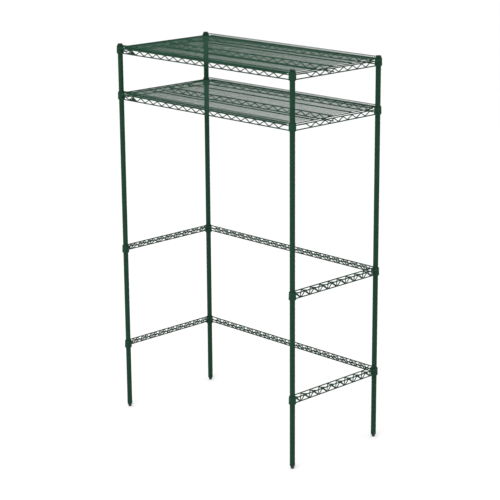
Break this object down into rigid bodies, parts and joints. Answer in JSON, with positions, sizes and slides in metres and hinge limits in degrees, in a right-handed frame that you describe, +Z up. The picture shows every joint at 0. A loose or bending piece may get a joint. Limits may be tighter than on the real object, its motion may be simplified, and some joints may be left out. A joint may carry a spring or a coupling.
{
  "type": "wire storage rack",
  "caption": "Free-standing coated wire rack: grooved posts on levelling feet carry two wire shelves at the top and two three-sided wire frames, with an open bay below.",
  "frame": {"origin": "on the floor below the middle of the rack, level with the undersides of the four glides", "axes": "+X to the right along the long side, +Y to the closed back, +Z up"},
  "size_m": [1.219, 0.61, 1.8955],
  "materials": {
    "post_coating": "dark green baked coating, satin",
    "wire_coating": "green epoxy coating on wire, semi-gloss",
    "deck_coating": "green epoxy coating on wire, semi-gloss",
    "black_plastic": "moulded, fine matte texture",
    "plated_steel": "dark plating",
    "dark_rubber": "matte, slightly dusty"
  },
  "bodies": {
    "uprights": {"post_front_left": "post_coating", "post_cap_front_left": "black_plastic", "post_insert_front_left": "black_plastic", "sleeve_lower_frame_front_left_aft": "black_plastic", "sleeve_lower_frame_front_left_fore": "black_plastic", "sleeve_upper_frame_front_left_aft": "black_plastic", "sleeve_upper_frame_front_left_fore": "black_plastic", "sleeve_lower_shelf_front_left_aft": "black_plastic", "sleeve_lower_shelf_front_left_fore": "black_plastic", "sleeve_top_shelf_front_left_aft": "black_plastic", "sleeve_top_shelf_front_left_fore": "black_plastic", "post_front_right": "post_coating", "post_cap_front_right": "black_plastic", "post_insert_front_right": "black_plastic", "sleeve_lower_frame_front_right_aft": "black_plastic", "sleeve_lower_frame_front_right_fore": "black_plastic", "sleeve_upper_frame_front_right_aft": "black_plastic", "sleeve_upper_frame_front_right_fore": "black_plastic", "sleeve_lower_shelf_front_right_aft": "black_plastic", "sleeve_lower_shelf_front_right_fore": "black_plastic", "sleeve_top_shelf_front_right_aft": "black_plastic", "sleeve_top_shelf_front_right_fore": "black_plastic", "post_back_left": "post_coating", "post_cap_back_left": "black_plastic", "post_insert_back_left": "black_plastic", "sleeve_lower_frame_back_left_aft": "black_plastic", "sleeve_lower_frame_back_left_fore": "black_plastic", "sleeve_upper_frame_back_left_aft": "black_plastic", "sleeve_upper_frame_back_left_fore": "black_plastic", "sleeve_lower_shelf_back_left_aft": "black_plastic", "sleeve_lower_shelf_back_left_fore": "black_plastic", "sleeve_top_shelf_back_left_aft": "black_plastic", "sleeve_top_shelf_back_left_fore": "black_plastic", "post_back_right": "post_coating", "post_cap_back_right": "black_plastic", "post_insert_back_right": "black_plastic", "sleeve_lower_frame_back_right_aft": "black_plastic", "sleeve_lower_frame_back_right_fore": "black_plastic", "sleeve_upper_frame_back_right_aft": "black_plastic", "sleeve_upper_frame_back_right_fore": "black_plastic", "sleeve_lower_shelf_back_right_aft": "black_plastic", "sleeve_lower_shelf_back_right_fore": "black_plastic", "sleeve_top_shelf_back_right_aft": "black_plastic", "sleeve_top_shelf_back_right_fore": "black_plastic"},
    "lower_shelf": {"lower_shelf_frame": "wire_coating", "lower_shelf_deck": "deck_coating", "lower_shelf_tag": "black_plastic"},
    "top_shelf": {"top_shelf_frame": "wire_coating", "top_shelf_deck": "deck_coating", "top_shelf_tag": "black_plastic"},
    "lower_frame": {"lower_frame_three_sided": "wire_coating"},
    "upper_frame": {"upper_frame_three_sided": "wire_coating"},
    "foot_front_left": {"glide_front_left": "dark_rubber"},
    "bolt_front_left": {"levelling_bolt_front_left": "plated_steel"},
    "foot_front_right": {"glide_front_right": "dark_rubber"},
    "bolt_front_right": {"levelling_bolt_front_right": "plated_steel"},
    "foot_back_left": {"glide_back_left": "dark_rubber"},
    "bolt_back_left": {"levelling_bolt_back_left": "plated_steel"},
    "foot_back_right": {"glide_back_right": "dark_rubber"},
    "bolt_back_right": {"levelling_bolt_back_right": "plated_steel"}
  },
  "joints": [
    {"name": "lower_frame_lift", "type": "slide", "parent": "uprights", "child": "lower_frame", "axis": [0, 0, 1], "range_m": [0, 0.46]},
    {"name": "upper_frame_lift", "type": "slide", "parent": "uprights", "child": "upper_frame", "axis": [0, 0, 1], "range_m": [0, 0.74]},
    {"name": "lower_shelf_lift", "type": "slide", "parent": "uprights", "child": "lower_shelf", "axis": [0, 0, 1], "range_m": [0, 0.18]},
    {"name": "top_shelf_lift", "type": "slide", "parent": "uprights", "child": "top_shelf", "axis": [0, 0, 1], "range_m": [0, 0.05]},
    {"name": "foot_slide_front_left", "type": "slide", "parent": "uprights", "child": "foot_front_left", "axis": [0, 0, 1], "range_m": [-0.01905, 0]},
    {"name": "bolt_turn_front_left", "type": "hinge", "parent": "foot_front_left", "child": "bolt_front_left", "pos_m": [-0.5915, -0.287, 0.01], "axis": [0, 0, 1], "range_deg": [-4321, 0]},
    {"name": "foot_slide_front_right", "type": "slide", "parent": "uprights", "child": "foot_front_right", "axis": [0, 0, 1], "range_m": [-0.01905, 0]},
    {"name": "bolt_turn_front_right", "type": "hinge", "parent": "foot_front_right", "child": "bolt_front_right", "pos_m": [0.5915, -0.287, 0.01], "axis": [0, 0, 1], "range_deg": [-4321, 0]},
    {"name": "foot_slide_back_left", "type": "slide", "parent": "uprights", "child": "foot_back_left", "axis": [0, 0, 1], "range_m": [-0.01905, 0]},
    {"name": "bolt_turn_back_left", "type": "hinge", "parent": "foot_back_left", "child": "bolt_back_left", "pos_m": [-0.5915, 0.287, 0.01], "axis": [0, 0, 1], "range_deg": [-4321, 0]},
    {"name": "foot_slide_back_right", "type": "slide", "parent": "uprights", "child": "foot_back_right", "axis": [0, 0, 1], "range_m": [-0.01905, 0]},
    {"name": "bolt_turn_back_right", "type": "hinge", "parent": "foot_back_right", "child": "bolt_back_right", "pos_m": [0.5915, 0.287, 0.01], "axis": [0, 0, 1], "range_deg": [-4321, 0]}
  ],
  "couplings": [
    {"joint": "bolt_turn_front_left", "follows": "foot_slide_front_left", "rad_per_m": 3957.9},
    {"joint": "bolt_turn_front_right", "follows": "foot_slide_front_right", "rad_per_m": 3957.9},
    {"joint": "bolt_turn_back_left", "follows": "foot_slide_back_left", "rad_per_m": 3957.9},
    {"joint": "bolt_turn_back_right", "follows": "foot_slide_back_right", "rad_per_m": 3957.9}
  ]
}
